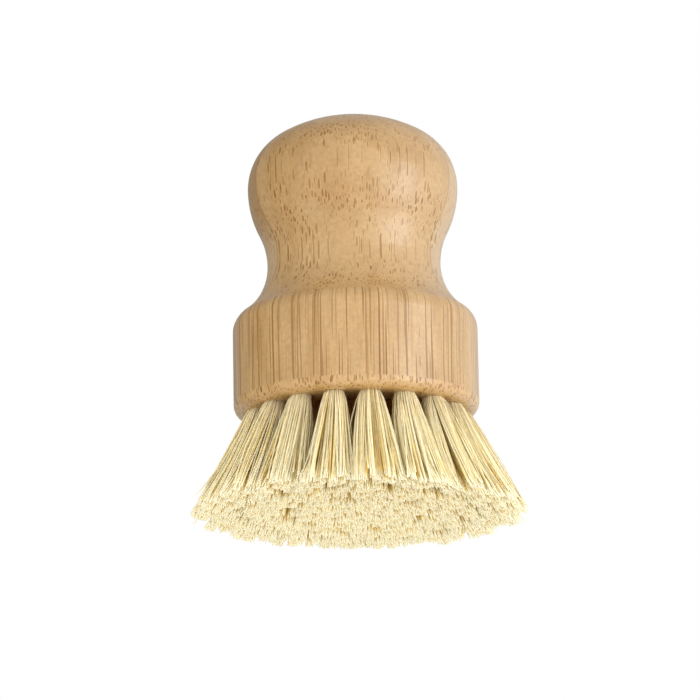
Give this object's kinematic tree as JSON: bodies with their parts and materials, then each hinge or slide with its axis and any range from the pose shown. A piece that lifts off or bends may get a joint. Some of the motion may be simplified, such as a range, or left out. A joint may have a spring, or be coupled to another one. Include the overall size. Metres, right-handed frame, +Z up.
{
  "type": "palm dish brush",
  "caption": "Palm-held dish brush: a turned bamboo block with a domed knob, a waisted neck and a round head, from whose underside tufts of pale plant fibre splay out.",
  "frame": {"origin": "on the table under the middle of the bristle tips, on the brush's own axis", "axes": "+Z up along the axis of the turned block, towards the knob; -Y is the front in the picture's view"},
  "size_m": [0.0736, 0.073, 0.0908],
  "materials": {
    "bamboo": "satin",
    "fibre": "matte",
    "anchor_wire": "satin"
  },
  "bodies": {
    "root": {"bamboo_block": "bamboo", "tuft_center": "fibre", "anchor_center": "anchor_wire", "tuft_inner_01": "fibre", "tuft_inner_02": "fibre", "tuft_inner_03": "fibre", "tuft_inner_04": "fibre", "tuft_inner_05": "fibre", "tuft_inner_06": "fibre", "anchors_inner": "anchor_wire", "tuft_middle_01": "fibre", "tuft_middle_02": "fibre", "tuft_middle_03": "fibre", "tuft_middle_04": "fibre", "tuft_middle_05": "fibre", "tuft_middle_06": "fibre", "tuft_middle_07": "fibre", "tuft_middle_08": "fibre", "tuft_middle_09": "fibre", "tuft_middle_10": "fibre", "tuft_middle_11": "fibre", "tuft_middle_12": "fibre", "anchors_middle": "anchor_wire", "tuft_outer_01": "fibre", "tuft_outer_02": "fibre", "tuft_outer_03": "fibre", "tuft_outer_04": "fibre", "tuft_outer_05": "fibre", "tuft_outer_06": "fibre", "tuft_outer_07": "fibre", "tuft_outer_08": "fibre", "tuft_outer_09": "fibre", "tuft_outer_10": "fibre", "tuft_outer_11": "fibre", "tuft_outer_12": "fibre", "tuft_outer_13": "fibre", "tuft_outer_14": "fibre", "tuft_outer_15": "fibre", "tuft_outer_16": "fibre", "tuft_outer_17": "fibre", "tuft_outer_18": "fibre", "anchors_outer": "anchor_wire"}
  },
  "joints": []
}
